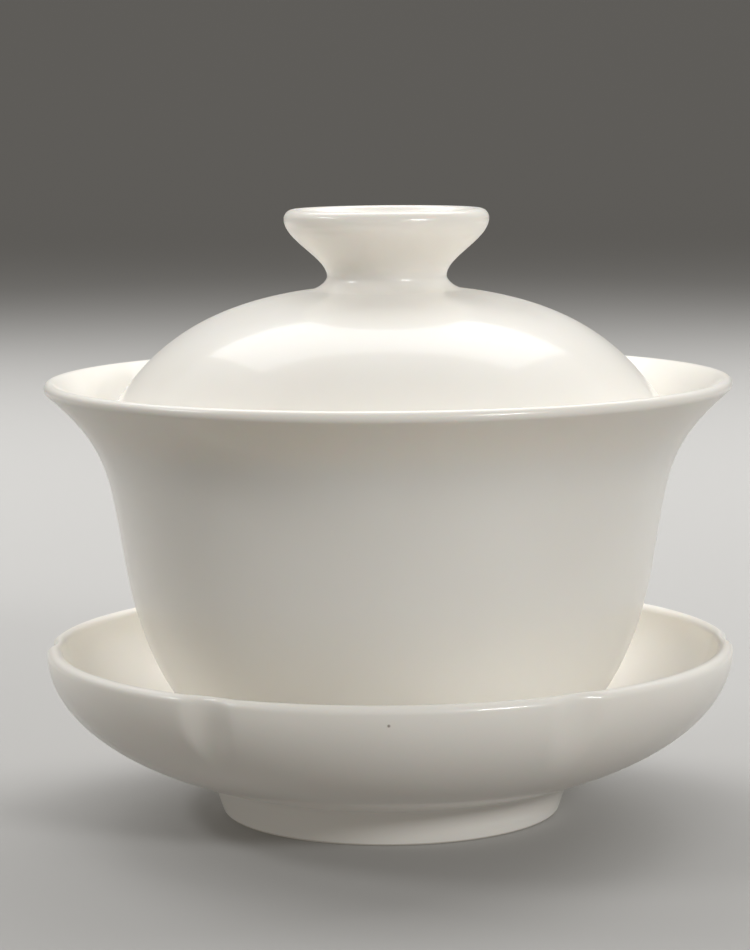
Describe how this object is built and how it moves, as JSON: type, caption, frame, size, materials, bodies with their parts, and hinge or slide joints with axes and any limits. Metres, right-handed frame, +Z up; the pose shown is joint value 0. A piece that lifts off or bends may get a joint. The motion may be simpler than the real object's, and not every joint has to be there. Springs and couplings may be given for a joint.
{
  "type": "gaiwan",
  "caption": "Lidded porcelain tea bowl with a flared lip and a domed, knobbed lid, standing in the well of a lobed saucer; lid and bowl lift off.",
  "frame": {"origin": "centre of the saucer's foot ring, on the surface it stands on", "axes": "+Z up along the common axis of saucer, bowl and lid; -Y towards the viewer, midway between two grooves of the saucer's rim"},
  "size_m": [0.1004, 0.1006, 0.0883],
  "materials": {
    "porcelain": "satin matte white glaze"
  },
  "bodies": {
    "saucer": {"saucer": "porcelain"},
    "bowl": {"bowl": "porcelain"},
    "lid": {"lid": "porcelain"}
  },
  "joints": [
    {"name": "bowl_lift", "type": "slide", "parent": "saucer", "child": "bowl", "axis": [0, 0, 1], "range_m": [0, 0.08]},
    {"name": "lid_lift", "type": "slide", "parent": "bowl", "child": "lid", "axis": [0, 0, 1], "range_m": [0, 0.06]}
  ]
}
